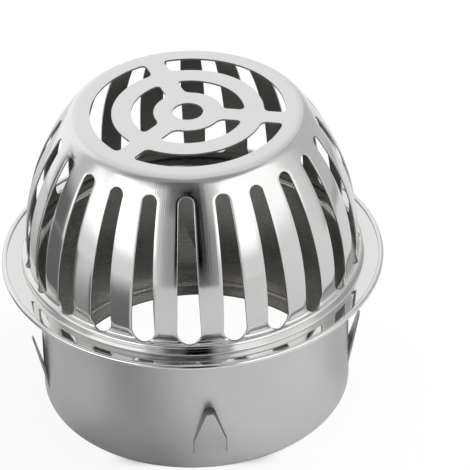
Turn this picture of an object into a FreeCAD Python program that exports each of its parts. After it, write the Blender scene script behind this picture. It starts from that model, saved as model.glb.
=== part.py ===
"""Domed stainless roof and balcony drain strainer: a slotted dome crimped to a spring-tab collar."""
import math
import os

import FreeCAD
import Part

# Sizes in millimetres, angles in degrees. The origin is the centre of the collar's lower edge, +Z is up.
SHEET = 0.6                   # stainless sheet of both pressings

# Collar with its flange, which goes down into the pipe
COLLAR_RADIUS = 51.0          # outside wall
COLLAR_LIP_BEND = 2.0         # outside radius of the turned-in lower edge
COLLAR_LIP_FLAT = 4.2         # flat left inside that bend, which the part stands on
NECK_BEND = 0.8               # inside radius of the bend from wall to flange
RIM_RADIUS = 62.5             # outermost edge of the rolled rim
HEM_WIDTH = 1.6               # rim edge to the inner edge of the folded-over hem
BRIM_TOP = 50.5               # top face of the dome's brim, held under the hem
HEM_GAP = 0.1                 # brim edge to the start of the fold

# Spring tabs lanced out of the collar wall
TAB_TURNS = (-77.5, 6.1, 90.0, 186.2)  # from the front towards +X; pressed one by one, so not quite even
TAB_FOOT = 7.0                # height where the tab starts to bend out
TAB_SHOULDER = 12.5           # height where its sides start to close in
TAB_TIP = 25.4                # height of the tip before bending
TAB_WIDTH = 10.4
TAB_TIP_WIDTH = 3.2
TAB_LEAN = 12.0               # angle out of the wall
TAB_BEND = 5.0                # outside radius of its bend
TAB_SLIT = 0.3                # cut left open round the tab

# Dome
DOME_TOP = 105.5
DOME_WALL_RADIUS = 54.1       # widest outside radius, at the springing height
DOME_SPRING = 57.9            # height where the curve meets the upright wall
DOME_ARC = 75.0               # outside radius of the curved side
SHOULDER_RADIUS = 5.4         # outside radius between the side and the flat top
LEDGE_TOP = 53.8              # small ledge below the ribs, where its two bends meet
LEDGE_BEND = 1.0              # inside radius between wall and ledge
BEAD_RADIUS = 55.8            # upright face below the ledge
BEAD_BEND = 1.0               # outside radius of the ledge's outer edge
BRIM_BEND = 0.5               # inside radius between bead and brim

# Tapered slots round the dome
SLOT_COUNT = 23
SLOT_TILT = 15.0              # direction of the cut above level
SLOT_TOP_RADIUS = 40.5        # where the upper end reaches, on the outside face
SLOT_TOP_HEIGHT = 100.5
SLOT_FOOT_RADIUS = 54.3       # where the lower end reaches
SLOT_FOOT_HEIGHT = 53.6
SLOT_TOP_WIDTH = 4.7
SLOT_FOOT_WIDTH = 7.6

# Openings in the flat top
HOLE_RADIUS = 4.9
INNER_RING = (10.95, 18.15)   # inside and outside radius of the inner arc slots
OUTER_RING = (24.35, 31.3)
SPOKE_COUNT = 3
SPOKE_TURN = 81.8             # first spoke, measured from the front towards +X
SPOKE_WIDTH = 6.2
ARC_CORNER = 1.7              # corner radius of the arc slots

Z_AXIS = FreeCAD.Vector(0, 0, 1)
ORIGIN = FreeCAD.Vector(0, 0, 0)


def point(radius, height):
    """A point of a section drawn in the XZ plane."""
    return FreeCAD.Vector(radius, 0, height)


def line(start, end):
    return Part.makeLine(start, end)


def arc(centre, radius, first, last):
    """Arc in the XZ plane between two angles measured from +X towards +Z."""
    def at(angle):
        turn = math.radians(angle)
        return centre + point(radius * math.cos(turn), radius * math.sin(turn))
    return Part.Arc(at(first), at(0.5 * (first + last)), at(last)).toShape()


def closed_section(curves):
    """Face from section curves in order, with straight lines where one does not reach the next."""
    edges = []
    ends = [(c.valueAt(c.FirstParameter), c.valueAt(c.LastParameter)) for c in curves]
    for index, curve in enumerate(curves):
        edges.append(curve)
        here = ends[index][1]
        following = ends[(index + 1) % len(curves)][0]
        if here.distanceToPoint(following) > 1e-6:
            edges.append(line(here, following))
    return Part.Face(Part.Wire(edges))


def turned(section):
    return section.revolve(ORIGIN, Z_AXIS, 360)


def evenly(count, first):
    """Turns spaced evenly about the axis, the first given from the front towards +X."""
    return [first + index * 360.0 / count for index in range(count)]


def around(shape, turns):
    """Copies of a shape at turns about Z."""
    copies = []
    for turn in turns:
        copy = shape.copy()
        copy.rotate(ORIGIN, Z_AXIS, turn)
        copies.append(copy)
    return copies


def front_frame():
    """Turns things drawn towards +X so that they face the front, -Y."""
    return FreeCAD.Rotation(Z_AXIS, -90)


def to_front(shape):
    shape.Placement = FreeCAD.Placement(ORIGIN, front_frame()).multiply(shape.Placement)
    return shape


def make_dome_shell():
    arc_centre = point(DOME_WALL_RADIUS - DOME_ARC, DOME_SPRING)
    shoulder_height = DOME_TOP - SHOULDER_RADIUS
    reach = DOME_ARC - SHOULDER_RADIUS
    rise = shoulder_height - DOME_SPRING
    shoulder_centre = point(arc_centre.x + math.sqrt(reach ** 2 - rise ** 2), shoulder_height)
    join = math.degrees(math.atan2(rise, shoulder_centre.x - arc_centre.x))
    # The ledge's two bends meet in an S where the step out is too short for a flat between them.
    flat = (BEAD_RADIUS - BEAD_BEND) - (DOME_WALL_RADIUS + LEDGE_BEND)
    slope = math.asin(max(0.0, -flat) / (LEDGE_BEND + BEAD_BEND))
    ledge_centre = point(DOME_WALL_RADIUS + LEDGE_BEND, LEDGE_TOP + LEDGE_BEND * math.cos(slope))
    bead_centre = point(BEAD_RADIUS - BEAD_BEND, LEDGE_TOP - BEAD_BEND * math.cos(slope))
    ledge_end = 270 - math.degrees(slope)
    bead_start = 90 - math.degrees(slope)
    brim_centre = point(BEAD_RADIUS + BRIM_BEND, BRIM_TOP + BRIM_BEND)
    brim_radius = RIM_RADIUS - 1.5 * SHEET - HEM_GAP

    # Outside face from the axis down to the brim edge, then the inside face back up to the axis.
    outside = [
        line(point(0, DOME_TOP), point(shoulder_centre.x, DOME_TOP)),
        arc(shoulder_centre, SHOULDER_RADIUS, 90, join),
        arc(arc_centre, DOME_ARC, join, 0),
        arc(ledge_centre, LEDGE_BEND, 180, ledge_end),
        arc(bead_centre, BEAD_BEND, bead_start, 0),
        arc(brim_centre, BRIM_BEND, 180, 270),
    ]
    inside = [
        line(point(brim_radius, BRIM_TOP), point(brim_radius, BRIM_TOP - SHEET)),
        arc(brim_centre, BRIM_BEND + SHEET, 270, 180),
        arc(bead_centre, BEAD_BEND - SHEET, 0, bead_start),
        arc(ledge_centre, LEDGE_BEND + SHEET, ledge_end, 180),
        arc(arc_centre, DOME_ARC - SHEET, 0, join),
        arc(shoulder_centre, SHOULDER_RADIUS - SHEET, join, 90),
        line(point(shoulder_centre.x, DOME_TOP - SHEET), point(0, DOME_TOP - SHEET)),
    ]
    return turned(closed_section(outside + inside))


def make_slot_cutter():
    """One tapered slot with round ends, pushed through the wall along its tilted direction."""
    tilt = math.radians(SLOT_TILT)
    out = FreeCAD.Vector(math.cos(tilt), 0, math.sin(tilt))
    along = FreeCAD.Vector(-math.sin(tilt), 0, math.cos(tilt))
    across = FreeCAD.Vector(0, 1, 0)
    top_end = point(SLOT_TOP_RADIUS, SLOT_TOP_HEIGHT)
    foot_end = point(SLOT_FOOT_RADIUS, SLOT_FOOT_HEIGHT)
    top_round = 0.5 * SLOT_TOP_WIDTH
    foot_round = 0.5 * SLOT_FOOT_WIDTH
    top_centre = top_end.dot(along) - top_round
    foot_centre = foot_end.dot(along) + foot_round
    taper = math.asin((foot_round - top_round) / (top_centre - foot_centre))
    base = out * (foot_end.dot(out) - 12.0)

    def at(height, radius, angle):
        return base + along * (height + radius * math.sin(angle)) + across * (radius * math.cos(angle))

    half = 0.5 * math.pi
    right_top = at(top_centre, top_round, taper)
    left_top = at(top_centre, top_round, math.pi - taper)
    right_foot = at(foot_centre, foot_round, taper)
    left_foot = at(foot_centre, foot_round, math.pi - taper)
    edges = [
        Part.Arc(right_top, at(top_centre, top_round, half), left_top).toShape(),
        line(left_top, left_foot),
        Part.Arc(left_foot, at(foot_centre, foot_round, -half), right_foot).toShape(),
        line(right_foot, right_top),
    ]
    return to_front(Part.Face(Part.Wire(edges)).extrude(out * 24.0))


def make_arc_slots(ring):
    """Three arc slots of one ring, parted by parallel spokes, with rounded corners."""
    inner, outer = ring
    depth = 4.0 * SHEET
    base = FreeCAD.Vector(0, 0, DOME_TOP - 2.5 * SHEET)
    band = Part.makeCylinder(outer, depth, base).cut(Part.makeCylinder(inner, depth, base))
    spoke = Part.makeBox(outer + 1.0, SPOKE_WIDTH, depth, base - FreeCAD.Vector(0, 0.5 * SPOKE_WIDTH, 0))
    spokes = around(to_front(spoke), evenly(SPOKE_COUNT, SPOKE_TURN))
    slots = []
    for solid in band.cut(spokes).Solids:
        upright = []
        for edge in solid.Edges:
            if edge.BoundBox.XLength + edge.BoundBox.YLength < 1e-3:
                upright.append(edge)
        slots.append(solid.makeFillet(ARC_CORNER, upright))
    return slots


def make_dome():
    cutters = around(make_slot_cutter(), evenly(SLOT_COUNT, 0))
    cutters.extend(make_arc_slots(INNER_RING))
    cutters.extend(make_arc_slots(OUTER_RING))
    cutters.append(Part.makeCylinder(HOLE_RADIUS, 4 * SHEET, FreeCAD.Vector(0, 0, DOME_TOP - 2.5 * SHEET)))
    return make_dome_shell().cut(cutters)


def make_collar_shell():
    flange_top = BRIM_TOP - SHEET
    flange_bottom = flange_top - SHEET
    lip_centre = point(COLLAR_RADIUS - COLLAR_LIP_BEND, COLLAR_LIP_BEND)
    neck_centre = point(COLLAR_RADIUS + NECK_BEND, flange_bottom - NECK_BEND)
    fold_round = 1.5 * SHEET
    fold_centre = point(RIM_RADIUS - fold_round, BRIM_TOP - 0.5 * SHEET)
    hem_edge = RIM_RADIUS - HEM_WIDTH
    lip_edge = lip_centre.x - COLLAR_LIP_FLAT

    # Outside face from the lower edge up over the hem, then back under it and down the bore.
    outside = [
        line(point(lip_edge, 0), point(lip_centre.x, 0)),
        arc(lip_centre, COLLAR_LIP_BEND, -90, 0),
        arc(neck_centre, NECK_BEND, 180, 90),
        arc(fold_centre, fold_round, -90, 0),
        arc(fold_centre, fold_round, 0, 90),
    ]
    inside = [
        line(point(hem_edge, BRIM_TOP + SHEET), point(hem_edge, BRIM_TOP)),
        arc(fold_centre, 0.5 * SHEET, 90, 0),
        arc(fold_centre, 0.5 * SHEET, 0, -90),
        arc(neck_centre, NECK_BEND + SHEET, 90, 180),
        arc(lip_centre, COLLAR_LIP_BEND - SHEET, 0, -90),
        line(point(lip_centre.x, SHEET), point(lip_edge, SHEET)),
    ]
    return turned(closed_section(outside + inside))


def tab_outline(spare):
    """House-shaped prism pointing up with a round tip, grown by a margin, reaching out along +X."""
    half = 0.5 * TAB_WIDTH + spare
    tip_round = 0.5 * TAB_TIP_WIDTH + spare
    tip_centre = TAB_TIP - 0.5 * TAB_TIP_WIDTH
    start = COLLAR_RADIUS - 6.0

    def at(across, height):
        return FreeCAD.Vector(start, across, height)

    side = math.atan2(0.5 * (TAB_WIDTH - TAB_TIP_WIDTH), tip_centre - TAB_SHOULDER)
    across_tip = tip_round * math.cos(side)
    tip_height = tip_centre + tip_round * math.sin(side)
    corners = [at(half, TAB_FOOT), at(half, TAB_SHOULDER), at(across_tip, tip_height)]
    mirrored = [at(-p.y, p.z) for p in reversed(corners)]
    edges = [
        line(corners[0], corners[1]),
        line(corners[1], corners[2]),
        Part.Arc(corners[2], at(0, TAB_TIP + spare), mirrored[0]).toShape(),
        line(mirrored[0], mirrored[1]),
        line(mirrored[1], mirrored[2]),
        line(mirrored[2], corners[0]),
    ]
    return Part.Face(Part.Wire(edges)).extrude(FreeCAD.Vector(14.0, 0, 0))


def make_tab():
    """The lanced piece of wall, bent out about its foot."""
    lean = math.radians(TAB_LEAN)
    bend_centre = point(COLLAR_RADIUS + TAB_BEND, TAB_FOOT)
    length = TAB_TIP - TAB_FOOT
    run = point(length * math.sin(lean), length * math.cos(lean))
    outer = arc(bend_centre, TAB_BEND, 180, 180 - TAB_LEAN)
    inner = arc(bend_centre, TAB_BEND + SHEET, 180 - TAB_LEAN, 180)
    outer_end = outer.valueAt(outer.LastParameter)
    inner_start = inner.valueAt(inner.FirstParameter)
    section = closed_section([outer, line(outer_end, outer_end + run), line(inner_start + run, inner_start), inner])
    section.rotate(ORIGIN, Z_AXIS, -20)
    band = section.revolve(ORIGIN, Z_AXIS, 40)
    return band.common(tab_outline(0))


def make_collar():
    windows = around(to_front(tab_outline(TAB_SLIT)), TAB_TURNS)
    tabs = around(to_front(make_tab()), TAB_TURNS)
    return make_collar_shell().cut(windows).fuse(tabs).removeSplitter()


def single_solid(shape, name):
    if len(shape.Solids) != 1 or not shape.isValid():
        raise RuntimeError("%s has %d solids, valid %s" % (name, len(shape.Solids), shape.isValid()))
    return shape.Solids[0]


os.makedirs("parts", exist_ok=True)
pieces = {"dome_strainer": make_dome(), "collar": make_collar()}
for name, shape in pieces.items():
    single_solid(shape, name).exportStep("parts/%s.step" % name)
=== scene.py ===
"""Look of the domed drain strainer: two stainless pressings standing on a pale studio floor."""
import itertools
import math

import bpy
from mathutils import Matrix, Vector


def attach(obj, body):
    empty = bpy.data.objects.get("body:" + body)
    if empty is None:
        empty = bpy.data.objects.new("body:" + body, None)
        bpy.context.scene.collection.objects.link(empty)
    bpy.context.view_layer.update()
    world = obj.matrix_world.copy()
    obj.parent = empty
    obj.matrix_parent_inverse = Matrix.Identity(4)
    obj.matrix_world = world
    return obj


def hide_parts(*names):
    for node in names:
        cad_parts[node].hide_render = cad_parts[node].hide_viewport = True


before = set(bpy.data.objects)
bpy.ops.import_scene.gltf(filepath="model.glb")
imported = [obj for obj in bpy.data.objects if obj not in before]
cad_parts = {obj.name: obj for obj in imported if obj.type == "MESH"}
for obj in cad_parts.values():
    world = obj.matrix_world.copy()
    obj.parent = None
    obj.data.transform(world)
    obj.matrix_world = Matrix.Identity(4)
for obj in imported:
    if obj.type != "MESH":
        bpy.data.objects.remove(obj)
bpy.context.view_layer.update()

MM = 0.001

# Sizes of the two pressings in millimetres and degrees, the same as in the solids.
SHEET = 0.6
COLLAR_RADIUS = 51.0
LIP_BEND = 2.0
LIP_FLAT = 4.2
NECK_BEND = 0.8
RIM_RADIUS = 62.5
HEM_WIDTH = 1.6
BRIM_TOP = 50.5
HEM_GAP = 0.1
TAB_TURNS = (-77.5, 6.1, 90.0, 186.2)
TAB_FOOT = 7.0
TAB_SHOULDER = 12.5
TAB_TIP = 25.4
TAB_WIDTH = 10.4
TAB_TIP_WIDTH = 3.2
TAB_LEAN = 12.0
TAB_BEND = 5.0
TAB_SLIT = 0.3
DOME_TOP = 105.5
DOME_WALL_RADIUS = 54.1
DOME_SPRING = 57.9
DOME_ARC = 75.0
SHOULDER_RADIUS = 5.4
LEDGE_TOP = 53.8
LEDGE_BEND = 1.0
BEAD_RADIUS = 55.8
BEAD_BEND = 1.0
BRIM_BEND = 0.5
SLOT_COUNT = 23
SLOT_TILT = 15.0
SLOT_TOP = (40.5, 100.5)
SLOT_FOOT = (54.3, 53.6)
SLOT_TOP_WIDTH = 4.7
SLOT_FOOT_WIDTH = 7.6
HOLE_RADIUS = 4.9
INNER_RING = (10.95, 18.15)
OUTER_RING = (24.35, 31.3)
SPOKE_COUNT = 3
SPOKE_TURN = 81.8
SPOKE_WIDTH = 6.2
SPOKE_HUB_TURN = 36.0
ARC_CORNER = 1.7

# Mesh attributes that keep the row of the section a corner was made from, and the finish of a face
ROW_TAG = "section_row"
FINISH_TAG = "finish"

# Places in a piece's list of finishes, which has the face, back and cut edge of each finish in turn
FIRST_FINISH = 0
POLISH = 3
PLATE = 6
BACK_FINISH = 1
EDGE_FINISH = 2

# Faces across one rib or spoke, across the rounded edge on each side of a rib, a collar panel and a tab
RIB_FACES = 12
EDGE_FACES = 3
PANEL_FACES = 51
TAB_FACES = 10

# Faces along a slot's round end, an arc slot's corner, the hem's edge, a tab's foot, and its side or tip
END_FACES = 8
CORNER_FACES = 6
HEM_FACES = 4
TAB_FOOT_FACES = 4
TAB_SIDE_FACES = 8

# The punched slots and the hem have soft outer edges of these radii.
EDGE_ROUND = 0.2
HEM_ROUND = 0.28

# Past the end of a slot the columns of faces even out over this length.
EVEN_RUN = 2.0

# Even rows of faces keep this share of their own length clear of the rows at a slot's ends.
ROW_CLEARANCE = 0.3

# The tab's last row of faces stops this far below its tip, where it still has a width.
TIP_SHORT = 0.01

# The plate's satin finish runs over the shoulder down to this far below the top.
SATIN_DROP = 0.45

# Corners nearer than this are one, a round end narrower than this is closed, and flatter bends look smooth.
WELD_GAP = 0.01
CLOSED = 1e-6
SMOOTH_ANGLE = 40.0

# Times a stretch is halved to find a place on a section
HALVINGS = 50


def spot(radius, height, turn):
    """A point at a turn in radians from the front towards +X."""
    return Vector((radius * math.sin(turn), -radius * math.cos(turn), height)) * MM


# Section curves: each is a function from a share of its length, 0 to 1, to radius and height.
def straight(start, end):
    return lambda share: (start[0] + share * (end[0] - start[0]), start[1] + share * (end[1] - start[1]))


def rounded(centre, radius, first, last):
    def at(share):
        angle = math.radians(first + share * (last - first))
        return centre[0] + radius * math.cos(angle), centre[1] + radius * math.sin(angle)
    return at


def stepped(curve, steps):
    """Points along a curve, or values of a function, at even steps."""
    return [curve(index / steps) for index in range(steps + 1)]


def joined(runs):
    """Rows of one section from runs of points, each starting where the last one ended."""
    rows = list(runs[0])
    for run in runs[1:]:
        rows.extend(run[1:])
    return rows


def lay_strip(columns, rows, place, finish=lambda row: FIRST_FINISH, tag=lambda row: -1):
    """A grid of faces, its corners set one by one from row and column and its finish by row."""
    bpy.ops.object.select_all(action="DESELECT")
    bpy.ops.mesh.primitive_grid_add(x_subdivisions=columns, y_subdivisions=rows, size=2)
    strip = bpy.context.object
    finishes = [finish(int((face.center.y + 1) / 2 * rows)) for face in strip.data.polygons]
    strip.data.attributes.new(FINISH_TAG, "INT", "FACE").data.foreach_set("value", finishes)
    tags = []
    for corner in strip.data.vertices:
        column = round((corner.co.x + 1) / 2 * columns)
        row = round((corner.co.y + 1) / 2 * rows)
        corner.co = place(row, column)
        tags.append(tag(row))
    strip.data.attributes.new(ROW_TAG, "INT", "POINT").data.foreach_set("value", tags)
    return strip


def evenly(count, first):
    """Turns in degrees spaced evenly about the axis."""
    return [first + 360 / count * index for index in range(count)]


def repeat_around(strip, turns):
    """Copies of a strip, each turned about the axis."""
    copies = []
    for turn in turns:
        copy = strip.copy()
        copy.data = strip.data.copy()
        copy.data.transform(Matrix.Rotation(math.radians(turn), 4, "Z"))
        bpy.context.collection.objects.link(copy)
        copies.append(copy)
    bpy.data.objects.remove(strip)
    return copies


def weld(strips, name, flip):
    """Joins strips to one sheet, closes their shared edges and turns its face side outwards."""
    bpy.ops.object.select_all(action="DESELECT")
    for strip in strips:
        strip.select_set(True)
    bpy.context.view_layer.objects.active = strips[0]
    bpy.ops.object.join()
    sheet = bpy.context.object
    sheet.name = name
    sheet.data.name = name
    bpy.ops.object.mode_set(mode="EDIT")
    bpy.ops.mesh.select_all(action="SELECT")
    bpy.ops.mesh.remove_doubles(threshold=WELD_GAP * MM)
    if flip:
        bpy.ops.mesh.flip_normals()
    bpy.ops.object.mode_set(mode="OBJECT")
    return sheet


def thicken(sheet, backs=()):
    """Gives a sheet its thickness, its tagged rows their own back, and smooths all but its cut edges."""
    face_side = [corner.co.copy() for corner in sheet.data.vertices]
    count = len(face_side)
    both_sides = 2 * len(sheet.data.polygons)
    wall = sheet.modifiers.new("sheet thickness", "SOLIDIFY")
    wall.thickness = SHEET * MM
    wall.offset = -1
    wall.use_quality_normals = True
    bpy.ops.object.modifier_apply(modifier=wall.name)
    corners = sheet.data.vertices
    moved = [(corner.co - face_side[corner.index % count]).length for corner in corners]
    is_back = [length > SHEET * MM / 2 for length in moved]
    for face, kept in zip(sheet.data.polygons, sheet.data.attributes[FINISH_TAG].data):
        face.material_index = kept.value
        if face.index >= both_sides:
            face.material_index += EDGE_FINISH
        elif is_back[face.vertices[0]]:
            face.material_index += BACK_FINISH
    tags = [tag.value for tag in sheet.data.attributes[ROW_TAG].data]
    for corner in corners:
        if backs and is_back[corner.index] and tags[corner.index] >= 0:
            place = face_side[corner.index % count]
            corner.co = spot(*backs[tags[corner.index]], math.atan2(place.x, -place.y))
    for name in (ROW_TAG, FINISH_TAG):
        sheet.data.attributes.remove(sheet.data.attributes[name])
    bpy.ops.object.shade_smooth_by_angle(angle=math.radians(SMOOTH_ANGLE))
    return sheet


def slot_measure(radius, height):
    """How far along the slot a point lies, seen along the direction of the punch."""
    tilt = math.radians(SLOT_TILT)
    return height * math.cos(tilt) - radius * math.sin(tilt)


def slot_half_width(radius, height, spare):
    """Half the slot's width, with a margin all round, where the section passes this point."""
    along = slot_measure(radius, height)
    top_round, foot_round, top_centre, foot_centre, taper = SLOT
    top_round += spare
    foot_round += spare
    if along > top_centre + top_round * math.sin(taper):
        left = top_round ** 2 - (along - top_centre) ** 2
    elif along < foot_centre + foot_round * math.sin(taper):
        left = foot_round ** 2 - (along - foot_centre) ** 2
    else:
        return foot_round / math.cos(taper) - (along - foot_centre) * math.tan(taper)
    return math.sqrt(left) if left > CLOSED else 0.0


def past_slot(radius, height):
    """How far a point lies beyond the nearer end of the slot, 0 beside the slot."""
    along = slot_measure(radius, height)
    top_round, foot_round, top_centre, foot_centre, _ = SLOT
    return max(0.0, along - top_centre - top_round, foot_centre - foot_round - along)


def edge_margins():
    """Distances from the slot's outline of the rows of corners on its rounded edge."""
    angles = [math.pi / 2 * (1 - step / EDGE_FACES) for step in range(EDGE_FACES + 1)]
    return [EDGE_ROUND * (1 - math.sin(angle)) for angle in angles]


def edge_sink(margin):
    """How far the rounded edge has dropped below the sheet at a distance from the outline."""
    if margin >= EDGE_ROUND:
        return 0.0
    return EDGE_ROUND - math.sqrt(EDGE_ROUND ** 2 - (EDGE_ROUND - margin) ** 2)


def slot_shape():
    """Radii of the slot's two round ends, their centres along it, and how much each side leans."""
    top_round = SLOT_TOP_WIDTH / 2
    foot_round = SLOT_FOOT_WIDTH / 2
    top_centre = slot_measure(*SLOT_TOP) - top_round
    foot_centre = slot_measure(*SLOT_FOOT) + foot_round
    taper = math.asin((foot_round - top_round) / (top_centre - foot_centre))
    return top_round, foot_round, top_centre, foot_centre, taper


SLOT = slot_shape()
EDGE_MARGINS = edge_margins()


def share_at(curve, along):
    """Share of a section curve at which the slot's lengthwise measure has this value, by halving."""
    low, high = 0.0, 1.0
    if not slot_measure(*curve(0.0)) >= along >= slot_measure(*curve(1.0)):
        return None
    for _ in range(HALVINGS):
        middle = (low + high) / 2
        if slot_measure(*curve(middle)) > along:
            low = middle
        else:
            high = middle
    return (low + high) / 2


def dome_rows():
    """Section of the dome from the edge of its flat top to the edge of its brim.

    Each row has a point of the outside, the point of the back behind it and the outward direction.
    Beside a slot the back lies along the punch, so that the cut edge is straight through the sheet.
    """
    arc_centre = (DOME_WALL_RADIUS - DOME_ARC, DOME_SPRING)
    rise = DOME_TOP - SHOULDER_RADIUS - DOME_SPRING
    reach = DOME_ARC - SHOULDER_RADIUS
    shoulder_centre = (arc_centre[0] + math.sqrt(reach ** 2 - rise ** 2), DOME_TOP - SHOULDER_RADIUS)
    join = math.degrees(math.atan2(rise, shoulder_centre[0] - arc_centre[0]))
    overlap = DOME_WALL_RADIUS + LEDGE_BEND - BEAD_RADIUS + BEAD_BEND
    slope = math.asin(overlap / (LEDGE_BEND + BEAD_BEND))
    ledge_centre = (DOME_WALL_RADIUS + LEDGE_BEND, LEDGE_TOP + LEDGE_BEND * math.cos(slope))
    bead_centre = (BEAD_RADIUS - BEAD_BEND, LEDGE_TOP - BEAD_BEND * math.cos(slope))
    ledge_end = 270 - math.degrees(slope)
    bead_start = 90 - math.degrees(slope)
    brim_centre = (BEAD_RADIUS + BRIM_BEND, BRIM_TOP + BRIM_BEND)
    brim_radius = RIM_RADIUS - 1.5 * SHEET - HEM_GAP

    def section(thickness):
        """Curves of the section at a depth below its outside, with the faces along each."""
        wall = DOME_WALL_RADIUS - thickness
        bead = BEAD_RADIUS - thickness
        brim = BRIM_TOP - thickness
        return [
            (rounded(shoulder_centre, SHOULDER_RADIUS - thickness, 90, join), 12),
            (rounded(arc_centre, DOME_ARC - thickness, join, 0), 30),
            (straight((wall, DOME_SPRING), (wall, ledge_centre[1])), 4),
            (rounded(ledge_centre, LEDGE_BEND + thickness, 180, ledge_end), 8),
            (rounded(bead_centre, BEAD_BEND - thickness, bead_start, 0), 8),
            (straight((bead, bead_centre[1]), (bead, brim_centre[1])), 2),
            (rounded(brim_centre, BRIM_BEND + thickness, 180, 270), 6),
            (straight((brim_centre[0], brim), (brim_radius, brim)), 4),
        ]

    top_round, foot_round, top_centre, foot_centre, taper = SLOT
    ends = []
    for step in range(END_FACES + 1):
        lift = taper + step / END_FACES * (math.pi / 2 - taper)
        drop = taper - step / END_FACES * (math.pi / 2 + taper)
        ends.append(top_centre + top_round * math.sin(lift))
        ends.append(foot_centre + foot_round * math.sin(drop))
    for margin in EDGE_MARGINS[1:]:
        ends.append(top_centre + top_round + margin)
        ends.append(foot_centre - foot_round - margin)

    backs = section(SHEET)
    rows = []
    for (curve, steps), (back_curve, _) in zip(section(0), backs):
        exact = [share for share in (share_at(curve, along) for along in ends) if share is not None]
        clear = ROW_CLEARANCE / steps
        kept = [0.0, 1.0]
        for step in range(1, steps):
            if all(abs(step / steps - other) > clear for other in exact):
                kept.append(step / steps)
        for share in sorted(exact + kept):
            point = curve(share)
            if rows and math.dist(point, rows[-1][0]) < WELD_GAP:
                continue
            back = back_curve(share)
            outward = ((point[0] - back[0]) / SHEET, (point[1] - back[1]) / SHEET)
            if past_slot(*point) == 0:
                along = slot_measure(*point)
                shares = [(other, share_at(other, along)) for other, _ in backs]
                back = next(other(found) for other, found in shares if found is not None)
            rows.append((point, back, outward))
    return rows


def spoke_half_turn(radius, corner):
    """Half the angle that a spoke takes up at a radius, with the rounding of the arc slot's corner."""
    return math.asin((SPOKE_WIDTH / 2 + corner) / radius)


def top_rows(edge_radius):
    """Rows of the flat top: radius, half the spoke's angle, whether the ring is whole there, and settling.

    Settling goes from 0 to 1 in the outermost ring, where the corners turn to meet those of the ribs.
    """
    hub_turn = math.radians(SPOKE_HUB_TURN)
    edge_turn = math.radians(180 / SLOT_COUNT)
    rows = []

    def whole(first, last, first_turn, last_turn, steps, settle=0):
        for step in range(steps + 1):
            share = step / steps
            half = first_turn + share * (last_turn - first_turn)
            rows.append((first + share * (last - first), half, True, share * settle))

    def slotted(ring):
        inner, outer = ring
        corner = stepped(rounded((ARC_CORNER, ARC_CORNER), ARC_CORNER, 180, 270), CORNER_FACES)
        for inset, rounding in corner:
            rows.append((inner + inset, spoke_half_turn(inner + inset, rounding), False, 0))
        for inset, rounding in reversed(corner):
            rows.append((outer - inset, spoke_half_turn(outer - inset, rounding), False, 0))

    whole(HOLE_RADIUS, INNER_RING[0], hub_turn, spoke_half_turn(INNER_RING[0], ARC_CORNER), 3)
    slotted(INNER_RING)
    whole(INNER_RING[1], OUTER_RING[0], spoke_half_turn(INNER_RING[1], ARC_CORNER),
          spoke_half_turn(OUTER_RING[0], ARC_CORNER), 3)
    slotted(OUTER_RING)
    whole(OUTER_RING[1], edge_radius, spoke_half_turn(OUTER_RING[1], ARC_CORNER), edge_turn, 4, 1)
    return rows


def make_dome():
    """The dome: one rib repeated between the slots, and the flat top's spokes and rings."""
    rows = dome_rows()
    pitch = 2 * math.pi / SLOT_COUNT

    def on_rib(row, column):
        (radius, height), _, outward = rows[row]
        side = min(column, RIB_FACES - column)
        margin = EDGE_MARGINS[min(side, EDGE_FACES)]
        turn = math.asin(slot_half_width(radius, height, margin) / radius)
        if side > EDGE_FACES:
            turn += (side - EDGE_FACES) / (RIB_FACES / 2 - EDGE_FACES) * (pitch / 2 - turn)
        beyond = past_slot(radius, height)
        even = min(1, max(0, (beyond - EDGE_ROUND) / EVEN_RUN))
        turn += even * (side / RIB_FACES * pitch - turn)
        if column != side:
            turn = pitch - turn
        sink = edge_sink(max(margin, beyond))
        return spot(radius - sink * outward[0], height - sink * outward[1], turn)

    def rib_finish(row):
        height = rows[row][0][1]
        if height > DOME_TOP - SATIN_DROP:
            return PLATE
        return FIRST_FINISH if height > LEDGE_TOP + LEDGE_BEND else POLISH

    ribs = lay_strip(RIB_FACES, len(rows) - 1, on_rib, rib_finish, lambda row: row)
    strips = repeat_around(ribs, evenly(SLOT_COUNT, 0))

    flat = top_rows(rows[0][0][0])
    third = 2 * math.pi / SPOKE_COUNT
    arc_faces = RIB_FACES * SLOT_COUNT // SPOKE_COUNT - RIB_FACES
    column_turn = pitch / RIB_FACES
    nearest = round(math.radians(SPOKE_TURN) / column_turn) * column_turn
    skew = nearest - math.radians(SPOKE_TURN)

    def on_spoke(row, column):
        radius, half, _, settled = flat[row]
        return spot(radius, DOME_TOP, half * (2 * column / RIB_FACES - 1) + settled * skew)

    spokes = evenly(SPOKE_COUNT, SPOKE_TURN)
    strips += repeat_around(lay_strip(RIB_FACES, len(flat) - 1, on_spoke, lambda row: PLATE), spokes)

    for is_whole, run in itertools.groupby(flat, lambda row: row[2]):
        if not is_whole:
            continue
        ring = list(run)

        def on_ring(row, column):
            radius, half, _, settled = ring[row]
            return spot(radius, DOME_TOP, half + column / arc_faces * (third - 2 * half) + settled * skew)

        strips += repeat_around(lay_strip(arc_faces, len(ring) - 1, on_ring, lambda row: PLATE), spokes)
    return thicken(weld(strips, "dome_strainer_sheet", True), [back for _, back, _ in rows])


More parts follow.
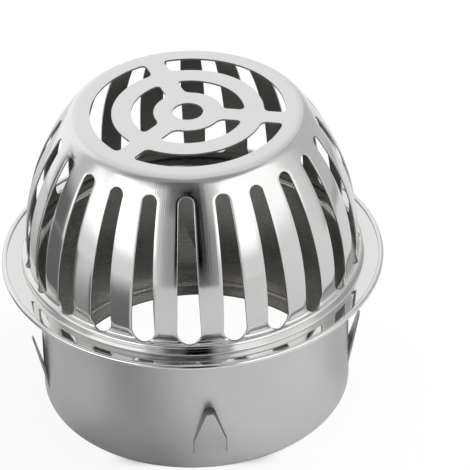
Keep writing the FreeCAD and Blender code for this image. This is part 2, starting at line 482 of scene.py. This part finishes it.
def tab_half_width(height, spare):
    """Half the width of the tab, or of its window with a margin, at a height on the collar."""
    tip_round = TAB_TIP_WIDTH / 2
    tip_centre = TAB_TIP - tip_round
    side = math.atan2((TAB_WIDTH - TAB_TIP_WIDTH) / 2, tip_centre - TAB_SHOULDER)
    start = tip_centre + (tip_round + spare) * math.sin(side)
    start_half = (tip_round + spare) * math.cos(side)
    if height <= TAB_SHOULDER:
        return TAB_WIDTH / 2 + spare
    if height < start:
        share = (height - TAB_SHOULDER) / (start - TAB_SHOULDER)
        return TAB_WIDTH / 2 + spare + share * (start_half - TAB_WIDTH / 2 - spare)
    left = (tip_round + spare) ** 2 - (height - tip_centre) ** 2
    return math.sqrt(left) if left > CLOSED else 0.0


def tab_heights(spare):
    """Heights of the rows from the foot of the tab to its tip, close together round the tip."""
    tip_round = TAB_TIP_WIDTH / 2 + spare
    tip_centre = TAB_TIP - TAB_TIP_WIDTH / 2
    side = math.atan2((TAB_WIDTH - TAB_TIP_WIDTH) / 2, tip_centre - TAB_SHOULDER)
    start = tip_centre + tip_round * math.sin(side)
    heights = stepped(lambda share: TAB_FOOT + share * (TAB_SHOULDER - TAB_FOOT), TAB_FOOT_FACES)
    heights += stepped(lambda share: TAB_SHOULDER + share * (start - TAB_SHOULDER), TAB_SIDE_FACES)[1:]
    round_the_tip = stepped(lambda share: side + share * (math.pi / 2 - side), TAB_SIDE_FACES)[1:]
    return heights + [tip_centre + tip_round * math.sin(angle) for angle in round_the_tip]


def tab_reach(height):
    """How far the tab stands out of the wall at a height."""
    lean = math.radians(TAB_LEAN)
    bend_top = TAB_FOOT + TAB_BEND * math.sin(lean)
    if height <= bend_top:
        return TAB_BEND - math.sqrt(TAB_BEND ** 2 - (height - TAB_FOOT) ** 2)
    return TAB_BEND * (1 - math.cos(lean)) + (height - bend_top) * math.tan(lean)


def make_collar():
    """The collar: panels of wall, flange and hem between the tabs, the wall below them, and the tabs."""
    flange_bottom = BRIM_TOP - 2 * SHEET
    lip_centre = (COLLAR_RADIUS - LIP_BEND, LIP_BEND)
    neck_centre = (COLLAR_RADIUS + NECK_BEND, flange_bottom - NECK_BEND)
    fold_round = 1.5 * SHEET
    fold_centre = (RIM_RADIUS - fold_round, BRIM_TOP - SHEET / 2)
    hem_edge = (RIM_RADIUS - HEM_WIDTH, BRIM_TOP + SHEET)
    hem_centre = (hem_edge[0] + HEM_ROUND, hem_edge[1] - HEM_ROUND)
    window = tab_heights(TAB_SLIT)
    foot_rows = joined([
        stepped(straight((lip_centre[0] - LIP_FLAT, 0), (lip_centre[0], 0)), 2),
        stepped(rounded(lip_centre, LIP_BEND, -90, 0), 8),
        stepped(straight((COLLAR_RADIUS, LIP_BEND), (COLLAR_RADIUS, TAB_FOOT)), 4),
    ])
    rows = joined([
        foot_rows,
        [(COLLAR_RADIUS, height) for height in window],
        stepped(straight((COLLAR_RADIUS, window[-1]), (COLLAR_RADIUS, neck_centre[1])), 12),
        stepped(rounded(neck_centre, NECK_BEND, 180, 90), 6),
        stepped(straight((neck_centre[0], flange_bottom), (fold_centre[0], flange_bottom)), 6),
        stepped(rounded(fold_centre, fold_round, -90, 90), 18),
        stepped(straight((fold_centre[0], hem_edge[1]), (hem_centre[0], hem_edge[1])), 3),
        stepped(rounded(hem_centre, HEM_ROUND, 90, 180), HEM_FACES),
    ])
    soft_start = len(rows) - HEM_FACES - 1
    foot_turn = math.asin(tab_half_width(TAB_FOOT, TAB_SLIT) / COLLAR_RADIUS)
    tab_turn = math.asin(tab_half_width(TAB_FOOT, 0) / COLLAR_RADIUS)

    def wall_finish(row):
        return FIRST_FINISH if rows[row][1] < neck_centre[1] else POLISH

    def hem_tag(row):
        return row if row >= soft_start else -1

    strips = []
    for index, turn in enumerate(TAB_TURNS):
        following = TAB_TURNS[index + 1] if index + 1 < len(TAB_TURNS) else TAB_TURNS[0] + 360
        span = math.radians(following - turn)

        def on_panel(row, column):
            radius, height = rows[row]
            edge = foot_turn
            if height > window[-1]:
                edge = 0.0
            elif row >= len(foot_rows):
                edge = math.asin(tab_half_width(height, TAB_SLIT) / COLLAR_RADIUS)
            return spot(radius, height, edge + column / PANEL_FACES * (span - 2 * edge))

        panel = lay_strip(PANEL_FACES, len(rows) - 1, on_panel, wall_finish, hem_tag)
        strips += repeat_around(panel, [turn])

    def below_tab(row, column):
        radius, height = foot_rows[row]
        if column == 0:
            turn = -foot_turn
        elif column == TAB_FACES + 2:
            turn = foot_turn
        else:
            turn = tab_turn * (2 * (column - 1) / TAB_FACES - 1)
        return spot(radius, height, turn)

    strips += repeat_around(lay_strip(TAB_FACES + 2, len(foot_rows) - 1, below_tab), TAB_TURNS)

    heights = tab_heights(0)
    heights[-1] -= TIP_SHORT

    def on_tab(row, column):
        height = heights[row]
        radius = COLLAR_RADIUS + tab_reach(height)
        edge = math.asin(tab_half_width(height, 0) / radius)
        return spot(radius, height, edge * (2 * column / TAB_FACES - 1))

    strips += repeat_around(lay_strip(TAB_FACES, len(heights) - 1, on_tab), TAB_TURNS)
    return thicken(weld(strips, "collar_sheet", False), [(radius, BRIM_TOP) for radius, _ in rows])


def new_material(name):
    """A new material with its nodes, links and shader."""
    material = bpy.data.materials.new(name)
    material.use_nodes = True
    nodes = material.node_tree.nodes
    return material, nodes, material.node_tree.links, nodes["Principled BSDF"]


def maths(tree):
    """A function that adds a math node to a node tree and gives its result."""
    def add(operation, *values):
        node = tree.nodes.new("ShaderNodeMath")
        node.operation = operation
        for socket, value in zip(node.inputs, values):
            if isinstance(value, (int, float)):
                socket.default_value = value
            else:
                tree.links.new(value, socket)
        return node.outputs["Value"]
    return add


# Stains to a metre, the smoothest that steel gets, and how deep the polishing lines are in millimetres
STAINS_PER_METRE = 45
LEAST_ROUGHNESS = 0.03
LINE_DEPTH = 0.02


def make_marks_group():
    """Node group of fine polishing lines and soft stains.

    Many cells round the axis and few along the section give lines down the part, the other way round rings.
    The lines change the roughness and give a height for a bump; the stains change roughness and colour.
    """
    group = bpy.data.node_groups.new("polishing marks", "ShaderNodeTree")
    for name in ("Cells round", "Cells along", "Roughness", "Spread", "Stain"):
        group.interface.new_socket(name=name, in_out="INPUT", socket_type="NodeSocketFloat")
    group.interface.new_socket(name="Colour", in_out="INPUT", socket_type="NodeSocketColor")
    group.interface.new_socket(name="Colour", in_out="OUTPUT", socket_type="NodeSocketColor")
    for name in ("Roughness", "Height"):
        group.interface.new_socket(name=name, in_out="OUTPUT", socket_type="NodeSocketFloat")
    nodes, links = group.nodes, group.links
    given = nodes.new("NodeGroupInput")
    result = nodes.new("NodeGroupOutput")
    do = maths(group)
    place = nodes.new("ShaderNodeTexCoord").outputs["Object"]
    parts = nodes.new("ShaderNodeSeparateXYZ")
    links.new(place, parts.inputs["Vector"])
    x, y, z = parts.outputs
    radius = do("MAXIMUM", do("SQRT", do("ADD", do("MULTIPLY", x, x), do("MULTIPLY", y, y))), MM)
    cells = do("DIVIDE", given.outputs["Cells round"], radius)
    along = do("MULTIPLY", do("SUBTRACT", radius, z), given.outputs["Cells along"])
    stretched = nodes.new("ShaderNodeCombineXYZ")
    for socket, value in zip(stretched.inputs, (do("MULTIPLY", x, cells), do("MULTIPLY", y, cells), along)):
        links.new(value, socket)
    lines = nodes.new("ShaderNodeTexNoise")
    lines.inputs["Scale"].default_value = 1
    lines.inputs["Detail"].default_value = 3
    lines.inputs["Roughness"].default_value = 0.65
    links.new(stretched.outputs["Vector"], lines.inputs["Vector"])
    clouds = nodes.new("ShaderNodeTexNoise")
    clouds.inputs["Scale"].default_value = STAINS_PER_METRE
    clouds.inputs["Detail"].default_value = 3
    links.new(place, clouds.inputs["Vector"])
    both = do("SUBTRACT", do("ADD", lines.outputs["Fac"], clouds.outputs["Fac"]), 1)
    rough = do("MULTIPLY_ADD", both, given.outputs["Spread"], given.outputs["Roughness"])
    links.new(do("MAXIMUM", rough, LEAST_ROUGHNESS), result.inputs["Roughness"])
    shade = do("MULTIPLY_ADD", do("SUBTRACT", clouds.outputs["Fac"], 0.5), given.outputs["Stain"], 1)
    tint = nodes.new("ShaderNodeVectorMath")
    tint.operation = "SCALE"
    links.new(given.outputs["Colour"], tint.inputs[0])
    links.new(shade, tint.inputs["Scale"])
    links.new(tint.outputs["Vector"], result.inputs["Colour"])
    links.new(lines.outputs["Fac"], result.inputs["Height"])
    return group


MARKS = make_marks_group()


def steel(name, colour, cells, roughness, spread, stain, depth, metallic=1.0):
    """Steel with polishing lines: cells round the axis and along the section, and how deep the lines look.

    Spread is how much the roughness varies, and stain how much the colour does. A fine satin finish
    scatters part of the light, so it is given a metallic share below 1.
    """
    material, nodes, links, shader = new_material(name)
    shader.inputs["Metallic"].default_value = metallic
    marks = nodes.new("ShaderNodeGroup")
    marks.node_tree = MARKS
    marks.inputs["Cells round"].default_value, marks.inputs["Cells along"].default_value = cells
    marks.inputs["Roughness"].default_value = roughness
    marks.inputs["Spread"].default_value = spread
    marks.inputs["Stain"].default_value = stain
    marks.inputs["Colour"].default_value = (*colour, 1)
    links.new(marks.outputs["Colour"], shader.inputs["Base Color"])
    links.new(marks.outputs["Roughness"], shader.inputs["Roughness"])
    if depth:
        bump = nodes.new("ShaderNodeBump")
        bump.inputs["Strength"].default_value = depth
        bump.inputs["Distance"].default_value = LINE_DEPTH * MM
        links.new(marks.outputs["Height"], bump.inputs["Height"])
        links.new(bump.outputs["Normal"], shader.inputs["Normal"])
    return material


dome = make_dome()
collar = make_collar()

# Cells of the polishing lines: down the ribs, in no direction on the plate, in rings elsewhere
DOWN = (110, 40)
GRAINY = (60, 2500)
RINGS = (12, 3500)

rib_steel = steel("polished rib steel", (0.64, 0.64, 0.635), DOWN,
                  roughness=0.1, spread=0.2, stain=0.12, depth=0.75)
plate_steel = steel("satin plate steel", (0.64, 0.64, 0.64), GRAINY,
                    roughness=0.36, spread=0.14, stain=0.12, depth=0.15, metallic=0.78)
# The collar's satin steel is darker than the dome's, as painted shade for the darker floor near its foot
# that it mirrors
collar_face_painted_shade = steel("satin, painted-shade collar steel", (0.5, 0.495, 0.495), RINGS,
                   roughness=0.36, spread=0.14, stain=0.2, depth=0.2)
mirror_steel = steel("mirror flange steel", (0.65, 0.65, 0.645), RINGS,
                     roughness=0.04, spread=0.02, stain=0.03, depth=0)
# The dome's inside is the same steel, its colour set far darker than the outside's as painted shade for the
# shade inside
dome_back_painted_shade = steel("dull, painted-shade dome inside steel", (0.29, 0.282, 0.268), RINGS,
                   roughness=0.36, spread=0.12, stain=0.4, depth=0.15)
bore_steel = steel("dull collar inside steel", (0.56, 0.55, 0.525), RINGS,
                   roughness=0.28, spread=0.14, stain=0.5, depth=0.15)
edge_steel = steel("cut edge steel", (0.4, 0.4, 0.395), GRAINY,
                   roughness=0.3, spread=0.1, stain=0.1, depth=0)
punch_steel = steel("punched edge steel", (0.28, 0.28, 0.275), GRAINY,
                    roughness=0.55, spread=0.1, stain=0.1, depth=0)

# Face, back and cut edge of each finish: ribs, brim and plate of the dome, wall and rim of the collar
dome_finishes = (
    rib_steel, dome_back_painted_shade, edge_steel,
    mirror_steel, dome_back_painted_shade, edge_steel,
    plate_steel, dome_back_painted_shade, punch_steel,
)
collar_finishes = (
    collar_face_painted_shade, bore_steel, edge_steel,
    mirror_steel, bore_steel, edge_steel,
)
for piece, finishes in ((dome, dome_finishes), (collar, collar_finishes)):
    for finish in finishes:
        piece.data.materials.append(finish)
for piece, node, slot_name in ((dome, "dome_strainer", "dome_steel"), (collar, "collar", "collar_steel")):
    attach(piece, "root")
    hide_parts(node)


# A panel's level, its middle turn and half width, its bottom and top, and how softly sides and ends fade
PANEL_SOCKETS = ("Level", "Middle", "Half width", "Bottom", "Top", "Side fade", "Bottom fade", "Top fade")

# The studio's wall where no panel is, and the panels by direction in degrees
WALL_LEVEL = 0.95
STUDIO_PANELS = (
    (1.25, -142, 28, -20, 45, 8, 8, 8),
    (0.68, 131, 27, -25, 55, 10, 8, 14),
    (1.15, 178, 20, 15, 62, 12, 12, 12),
    (0.72, -99, 8, 0, 72, 4, 4, 8),
    (0.42, 0, 88, 44, 84, 16, 12, 8),
    (1.6, -78, 10, 1, 26, 4, 6, 6),
    (2.0, -50, 20, 2, 35, 4, 6, 4),
    (1.5, 61, 26, 5, 50, 8, 9, 6),
    (1.8, 36, 12, 4, 40, 6, 8, 6),
    (0.5, 92, 9, 50, 66, 8, 6, 6),
    (0.42, 2, 22, -60, 36, 5, 8, 8),
    (0.72, 20, 5, 22, 40, 4, 8, 6),
    (0.26, -20, 13, 38, 62, 6, 5, 6),
    (0.17, -4, 14, 26, 62, 5, 4, 6),
    (0.16, 4, 10, -60, 56, 4, 6, 6),
    (0.0, 3, 8, -4, 38, 3, 6, 5),
    (0.17, -106, 15, -60, 4, 4, 8, 5),
)

# Floor: its radius in metres, how rough it is, its shade to the camera and in the metal, and the share of
# plain white that the camera sees
FLOOR_RADIUS = 0.42
FLOOR_ROUGHNESS = 0.7
FLOOR_SHADE = 0.9
FLOOR_IN_METAL = 0.76
FLOOR_WHITE = 0.88

# Millimetres across the floor stop here, because a panel's turns wrap round at 180.
ACROSS_LIMIT = 150

# Painted shadows and light patches on the floor, which only the metal sees, by turn and by distance from
# the axis in millimetres
FLOOR_PAINTED_LIGHT_AND_SHADE = (
    (0.38, 122, 22, 300, 700, 10, 30, 50),
    (0.48, -143, 40, 105, 180, 10, 12, 70),
    (0.33, -68, 14, 105, 225, 6, 12, 100),
    (0.12, -92, 16, 120, 420, 5, 10, 60),
    (0.15, -44, 15, 112, 310, 4, 10, 110),
    (1.0, -75, 32, -20, 105, 12, 5, 8),
    (1.05, 44, 52, -20, 112, 14, 5, 8),
    (0.52, -33, 14, 78, 112, 10, 12, 8),
    (0.57, -28, 24, -20, 64, 12, 5, 6),
    (0.7, 96, 18, 52, 104, 14, 8, 8),
    (0.8, 0, 200, -20, 46, 1, 1, 4),
    (0.22, 180, 22, 0, 40, 14, 6, 8),
)
# Colour of the floor inside the collar's front, by millimetres across and front to back, with painted
# shade: half shade, and deep shade at the place that shows through the window above the tab
INSIDE_DARK = (
    (0.5, 0, 22, -47, 2, 8, 3, 10),
    (0.09, 5, 12, -22, -5, 9, 4, 8),
)
# The camera sees nearly white inside the collar, and at the front the floor as it is lit, over its painted
# shade
INSIDE_WHITE = (
    (0.97, 0, 200, -20, 48, 1, 1, 6),
)
INSIDE_SHADE = (
    (0.0, 0, 22, -47, 2, 8, 3, 10),
)

# Camera found from the rims and slots: its lift, its turn to the side and its tilt off level in degrees,
# the place it aims at and its distance in millimetres, and its focal length and picture in pixels
CAMERA_LIFT = 35.385
CAMERA_SIDE = 1.2
CAMERA_TILT = -1.467
CAMERA_AIM = (14.02, 0, 56.78)
CAMERA_DISTANCE = 1104.2
FOCAL_LENGTH = 3382.2
PICTURE_WIDTH = 470
SENSOR_WIDTH = 36


def make_panel_group():
    """Node group that fades a brightness to a panel's own level inside a patch of turns and heights."""
    group = bpy.data.node_groups.new("studio panel", "ShaderNodeTree")
    for name in ("Brightness", "Turn", "Height", *PANEL_SOCKETS):
        group.interface.new_socket(name=name, in_out="INPUT", socket_type="NodeSocketFloat")
    group.interface.new_socket(name="Brightness", in_out="OUTPUT", socket_type="NodeSocketFloat")
    nodes, links = group.nodes, group.links
    given = nodes.new("NodeGroupInput")
    result = nodes.new("NodeGroupOutput")
    do = maths(group)

    def fade(value, start, width):
        ramp = nodes.new("ShaderNodeMapRange")
        ramp.interpolation_type = "SMOOTHSTEP"
        links.new(value, ramp.inputs["Value"])
        links.new(do("SUBTRACT", start, width), ramp.inputs["From Min"])
        links.new(do("ADD", start, width), ramp.inputs["From Max"])
        return ramp.outputs["Result"]

    away = do("SUBTRACT", given.outputs["Turn"], given.outputs["Middle"])
    away = do("ABSOLUTE", do("WRAP", away, 180, -180))
    inside = do("SUBTRACT", 1, fade(away, given.outputs["Half width"], given.outputs["Side fade"]))
    above = fade(given.outputs["Height"], given.outputs["Bottom"], given.outputs["Bottom fade"])
    over = fade(given.outputs["Height"], given.outputs["Top"], given.outputs["Top fade"])
    below = do("SUBTRACT", 1, over)
    share = do("MULTIPLY", inside, do("MULTIPLY", above, below))
    change = do("SUBTRACT", given.outputs["Level"], given.outputs["Brightness"])
    links.new(do("MULTIPLY_ADD", share, change, given.outputs["Brightness"]), result.inputs["Brightness"])
    return group


PANEL = make_panel_group()


def add_panels(tree, brightness, turn, height, panels):
    """Chains panels over a starting brightness."""
    for values in panels:
        panel = tree.nodes.new("ShaderNodeGroup")
        panel.node_tree = PANEL
        if isinstance(brightness, float):
            panel.inputs["Brightness"].default_value = brightness
        else:
            tree.links.new(brightness, panel.inputs["Brightness"])
        tree.links.new(turn, panel.inputs["Turn"])
        tree.links.new(height, panel.inputs["Height"])
        for name, value in zip(PANEL_SOCKETS, values):
            panel.inputs[name].default_value = value
        brightness = panel.outputs["Brightness"]
    return brightness


def turn_of(tree, vector):
    """Turn in degrees from the front towards +X, and the height component, of a direction or place."""
    do = maths(tree)
    parts = tree.nodes.new("ShaderNodeSeparateXYZ")
    tree.links.new(vector, parts.inputs["Vector"])
    front = do("MULTIPLY", parts.outputs["Y"], -1)
    turn = do("MULTIPLY", do("ARCTAN2", parts.outputs["X"], front), 180 / math.pi)
    return turn, parts.outputs["Z"]


def add_floor():
    """Pale disc under the part: the camera sees it nearly white, metal sees it as it is lit.

    Painted shadows and light patches on it, which only the metal sees, give the ribs their dark bands.
    Inside the collar the camera sees white at the back, and at the front, behind the window above the tab,
    the floor as it is lit over painted shade.
    """
    bpy.ops.object.select_all(action="DESELECT")
    bpy.ops.mesh.primitive_circle_add(vertices=128, radius=FLOOR_RADIUS, fill_type="NGON")
    floor = bpy.context.object
    floor.name = "studio_floor"
    material, nodes, links, shader = new_material("pale floor")
    tree = material.node_tree
    place = nodes.new("ShaderNodeTexCoord").outputs["Object"]
    turn, _ = turn_of(tree, place)
    away = nodes.new("ShaderNodeVectorMath")
    away.operation = "LENGTH"
    links.new(place, away.inputs[0])
    do = maths(tree)
    distance = do("MULTIPLY", away.outputs["Value"], 1 / MM)
    parts = nodes.new("ShaderNodeSeparateXYZ")
    links.new(place, parts.inputs["Vector"])
    across = do("MULTIPLY", parts.outputs["X"], 1 / MM)
    across = do("MAXIMUM", do("MINIMUM", across, ACROSS_LIMIT), -ACROSS_LIMIT)
    depth = do("MULTIPLY", parts.outputs["Y"], 1 / MM)
    rays = nodes.new("ShaderNodeLightPath")
    colour = nodes.new("ShaderNodeMix")
    colour.data_type = "FLOAT"
    # The floor's colour for the camera and diffuse light, with painted shade inside the collar's front
    links.new(add_panels(tree, FLOOR_SHADE, across, depth, INSIDE_DARK), colour.inputs["A"])
    links.new(rays.outputs["Is Glossy Ray"], colour.inputs["Factor"])
    # The floor's colour for glossy rays carries painted shadow and painted light
    links.new(add_panels(tree, FLOOR_IN_METAL, turn, distance, FLOOR_PAINTED_LIGHT_AND_SHADE), colour.inputs["B"])
    links.new(colour.outputs["Result"], shader.inputs["Base Color"])
    shader.inputs["Roughness"].default_value = FLOOR_ROUGHNESS
    glow = nodes.new("ShaderNodeEmission")
    glow.inputs["Strength"].default_value = 1.0
    shown = add_panels(tree, FLOOR_WHITE, turn, distance, INSIDE_WHITE)
    shown = add_panels(tree, shown, across, depth, INSIDE_SHADE)
    share = do("MULTIPLY", rays.outputs["Is Camera Ray"], shown)
    both = nodes.new("ShaderNodeMixShader")
    links.new(share, both.inputs["Fac"])
    links.new(shader.outputs["BSDF"], both.inputs[1])
    links.new(glow.outputs["Emission"], both.inputs[2])
    links.new(both.outputs["Shader"], nodes["Material Output"].inputs["Surface"])
    floor.data.materials.append(material)


def add_lamp(name, place, aim, size, power):
    """Square lamp that the metal doesn't mirror."""
    bpy.ops.object.light_add(type="AREA", location=place)
    lamp = bpy.context.object
    lamp.name = name
    lamp.rotation_mode = "QUATERNION"
    lamp.rotation_quaternion = (Vector(aim) - Vector(place)).to_track_quat("-Z", "Y")
    lamp.data.shape = "SQUARE"
    lamp.data.size = size
    lamp.data.energy = power
    lamp.visible_glossy = False


def add_camera():
    """Camera at the photograph's place, turned a little off level."""
    lift = math.radians(CAMERA_LIFT)
    side = math.radians(CAMERA_SIDE)
    tilt = math.radians(CAMERA_TILT)
    back = Vector((math.sin(side) * math.cos(lift), -math.cos(side) * math.cos(lift), math.sin(lift)))
    level = Vector((math.cos(side), math.sin(side), 0))
    above = back.cross(level)
    across = level * math.cos(tilt) + above * math.sin(tilt)
    upright = above * math.cos(tilt) - level * math.sin(tilt)
    aim = Matrix.Rotation(side, 3, "Z") @ Vector(CAMERA_AIM) * MM
    place = aim + back * CAMERA_DISTANCE * MM
    data = bpy.data.cameras.new("camera")
    camera = bpy.data.objects.new("camera", data)
    bpy.context.collection.objects.link(camera)
    data.sensor_width = SENSOR_WIDTH
    data.lens = FOCAL_LENGTH / PICTURE_WIDTH * SENSOR_WIDTH
    data.clip_end = 20
    turn = Matrix((across, upright, back)).transposed()
    camera.matrix_world = Matrix.Translation(place) @ turn.to_4x4()
    bpy.context.scene.camera = camera


def set_world():
    """Studio seen in the metal: white walls, a bright panel on each side, a dark gap behind the camera."""
    world = bpy.data.worlds.new("studio")
    bpy.context.scene.world = world
    world.use_nodes = True
    tree = world.node_tree
    nodes, links = tree.nodes, tree.links
    background = nodes["Background"]
    background.inputs["Color"].default_value = (1, 1, 1, 1)
    turn, rise = turn_of(tree, nodes.new("ShaderNodeTexCoord").outputs["Generated"])
    do = maths(tree)
    height = do("MULTIPLY", do("ARCSINE", rise), 180 / math.pi)
    rays = nodes.new("ShaderNodeLightPath")
    white = nodes.new("ShaderNodeMix")
    white.data_type = "FLOAT"
    links.new(rays.outputs["Is Camera Ray"], white.inputs["Factor"])
    links.new(add_panels(tree, WALL_LEVEL, turn, height, STUDIO_PANELS), white.inputs["A"])
    white.inputs["B"].default_value = 1.0
    links.new(white.outputs["Result"], background.inputs["Strength"])


add_floor()
add_lamp("key lamp", place=(0.7, 0.5, 0.9), aim=(0, 0, 0.05), size=0.4, power=6)
add_camera()
set_world()
bpy.context.scene.view_settings.view_transform = "Standard"
